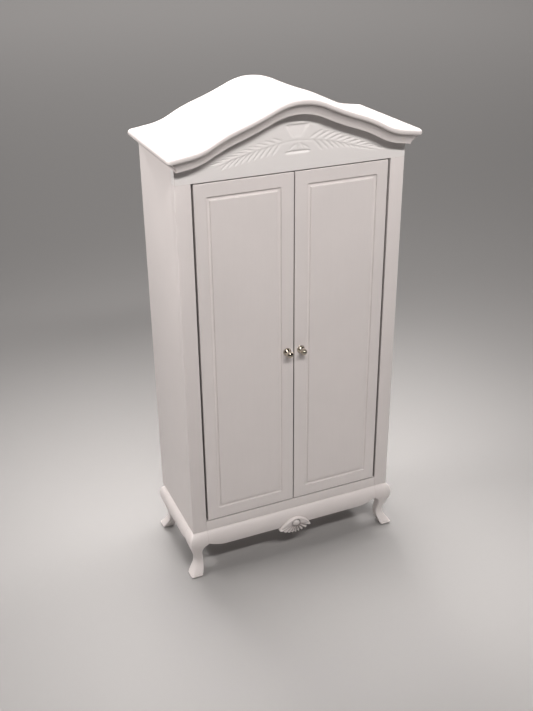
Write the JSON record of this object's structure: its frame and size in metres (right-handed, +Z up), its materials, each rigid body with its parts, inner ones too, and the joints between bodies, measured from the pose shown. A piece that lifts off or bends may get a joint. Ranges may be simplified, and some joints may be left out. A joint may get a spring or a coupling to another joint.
{
  "type": "miniature wardrobe",
  "caption": "Twelfth-scale white wardrobe with an arched serpentine cornice, carved frieze, two hinged panelled doors and a base on cabriole legs.",
  "frame": {"origin": "on the floor, under the middle of the bounding box", "axes": "+Z up, +X to the right seen from the front, the doors face -Y"},
  "size_m": [0.0896, 0.043, 0.1774],
  "materials": {
    "white_paint": "satin white paint over fine-grained wood",
    "brass": "polished, pale brass",
    "steel_wire": "drawn wire"
  },
  "bodies": {
    "carcass": {"cornice_top_board": "white_paint", "cornice_front_moulding": "white_paint", "cornice_left_moulding": "white_paint", "cornice_right_moulding": "white_paint", "frieze_panel": "white_paint", "left_stile": "white_paint", "right_stile": "white_paint", "bottom_rail": "white_paint", "left_side_panel": "white_paint", "right_side_panel": "white_paint", "back_panel": "white_paint", "floor_board": "white_paint", "ceiling_board": "white_paint", "hat_shelf": "white_paint", "left_shelf_cleat": "white_paint", "right_shelf_cleat": "white_paint", "hanging_rail": "white_paint", "upper_door_stop": "white_paint", "front_apron": "white_paint", "left_apron": "white_paint", "right_apron": "white_paint", "back_rail": "white_paint", "left_front_leg": "white_paint", "right_front_leg": "white_paint", "left_rear_leg": "white_paint", "right_rear_leg": "white_paint", "shell_carving": "white_paint"},
    "left_door": {"left_door_leaf": "white_paint", "left_door_knob": "brass", "left_door_top_pin": "steel_wire", "left_door_bottom_pin": "steel_wire"},
    "right_door": {"right_door_leaf": "white_paint", "right_door_knob": "brass", "right_door_top_pin": "steel_wire", "right_door_bottom_pin": "steel_wire"}
  },
  "joints": [
    {"name": "left_door_hinge", "type": "hinge", "parent": "carcass", "child": "left_door", "pos_m": [-0.0332, -0.01415, 0.0232], "axis": [0, 0, -1], "range_deg": [0, 110]},
    {"name": "right_door_hinge", "type": "hinge", "parent": "carcass", "child": "right_door", "pos_m": [0.0332, -0.01415, 0.0232], "axis": [0, 0, 1], "range_deg": [0, 110]}
  ]
}
